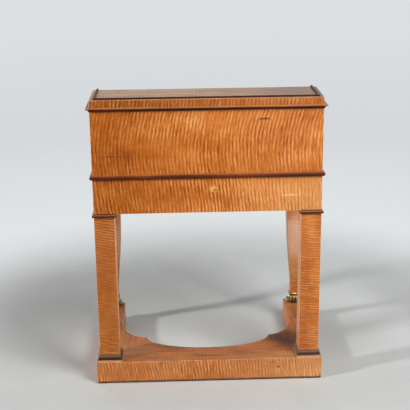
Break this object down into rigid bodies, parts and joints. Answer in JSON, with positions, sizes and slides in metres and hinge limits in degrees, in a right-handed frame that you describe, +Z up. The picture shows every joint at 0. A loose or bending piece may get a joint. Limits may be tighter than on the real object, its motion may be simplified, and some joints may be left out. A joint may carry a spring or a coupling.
{
  "type": "stepped writing desk",
  "caption": "Writing desk with a raised step of small drawers at the back, a frieze drawer, pilasters behind, S-shaped legs in front and a scalloped base.",
  "frame": {"origin": "on the floor, under the centre of the desk's box", "axes": "+Z up; the sitter is at -Y, the step and the back of the desk at +Y; +X to the sitter's right"},
  "size_m": [0.784, 0.542, 1.0045],
  "materials": {
    "maple_veneer": "french polished curly maple veneer",
    "dark_moulding": "dark polished hardwood moulding",
    "gilt_metal": "worn gilt cast metal",
    "writing_leather": "waxed brown skiver",
    "drawer_lining": "planed oak, unpolished",
    "pad_wood": "stained wood"
  },
  "bodies": {
    "carcass": {"base_rear_rail": "maple_veneer", "base_left_rail": "maple_veneer", "base_right_rail": "maple_veneer", "floor_pads": "pad_wood", "rear_pilaster_left": "maple_veneer", "rear_pilaster_right": "maple_veneer", "plinth_moulding_left": "maple_veneer", "plinth_moulding_right": "maple_veneer", "rear_capital_left": "dark_moulding", "rear_capital_right": "dark_moulding", "front_capital_left": "dark_moulding", "front_capital_right": "dark_moulding", "front_leg_left": "maple_veneer", "front_leg_right": "maple_veneer", "front_foot_left": "gilt_metal", "front_foot_right": "gilt_metal", "apron_back_panel": "maple_veneer", "apron_left_side": "maple_veneer", "apron_right_side": "maple_veneer", "apron_left_stile": "maple_veneer", "apron_right_stile": "maple_veneer", "apron_front_rail": "maple_veneer", "drawer_runner_left": "drawer_lining", "drawer_runner_right": "drawer_lining", "writing_top": "maple_veneer", "writing_leather": "writing_leather", "writing_top_moulding": "dark_moulding", "gradin_back_panel": "maple_veneer", "gradin_left_side": "maple_veneer", "gradin_right_side": "maple_veneer", "gradin_left_partition": "maple_veneer", "gradin_right_partition": "maple_veneer", "gradin_left_shelf": "maple_veneer", "gradin_right_shelf": "maple_veneer", "gradin_attic": "maple_veneer", "cornice_moulding": "dark_moulding", "attic_rim": "dark_moulding"},
    "frieze_drawer": {"frieze_drawer_front": "maple_veneer", "frieze_drawer_left_side": "drawer_lining", "frieze_drawer_right_side": "drawer_lining", "frieze_drawer_back": "drawer_lining", "frieze_drawer_bottom": "drawer_lining", "frieze_drawer_knobs": "gilt_metal"},
    "lower_left_drawer": {"lower_left_drawer_front": "maple_veneer", "lower_left_drawer_case": "drawer_lining", "lower_left_drawer_bottom": "drawer_lining", "lower_left_drawer_knob": "gilt_metal"},
    "lower_right_drawer": {"lower_right_drawer_front": "maple_veneer", "lower_right_drawer_case": "drawer_lining", "lower_right_drawer_bottom": "drawer_lining", "lower_right_drawer_knob": "gilt_metal"},
    "upper_left_drawer": {"upper_left_drawer_front": "maple_veneer", "upper_left_drawer_case": "drawer_lining", "upper_left_drawer_bottom": "drawer_lining", "upper_left_drawer_knob": "gilt_metal"},
    "upper_right_drawer": {"upper_right_drawer_front": "maple_veneer", "upper_right_drawer_case": "drawer_lining", "upper_right_drawer_bottom": "drawer_lining", "upper_right_drawer_knob": "gilt_metal"}
  },
  "joints": [
    {"name": "frieze_drawer_slide", "type": "slide", "parent": "carcass", "child": "frieze_drawer", "axis": [0, -1, 0], "range_m": [0, 0.3]},
    {"name": "lower_left_drawer_slide", "type": "slide", "parent": "carcass", "child": "lower_left_drawer", "axis": [0, -1, 0], "range_m": [0, 0.11]},
    {"name": "lower_right_drawer_slide", "type": "slide", "parent": "carcass", "child": "lower_right_drawer", "axis": [0, -1, 0], "range_m": [0, 0.11]},
    {"name": "upper_left_drawer_slide", "type": "slide", "parent": "carcass", "child": "upper_left_drawer", "axis": [0, -1, 0], "range_m": [0, 0.11]},
    {"name": "upper_right_drawer_slide", "type": "slide", "parent": "carcass", "child": "upper_right_drawer", "axis": [0, -1, 0], "range_m": [0, 0.11]}
  ]
}
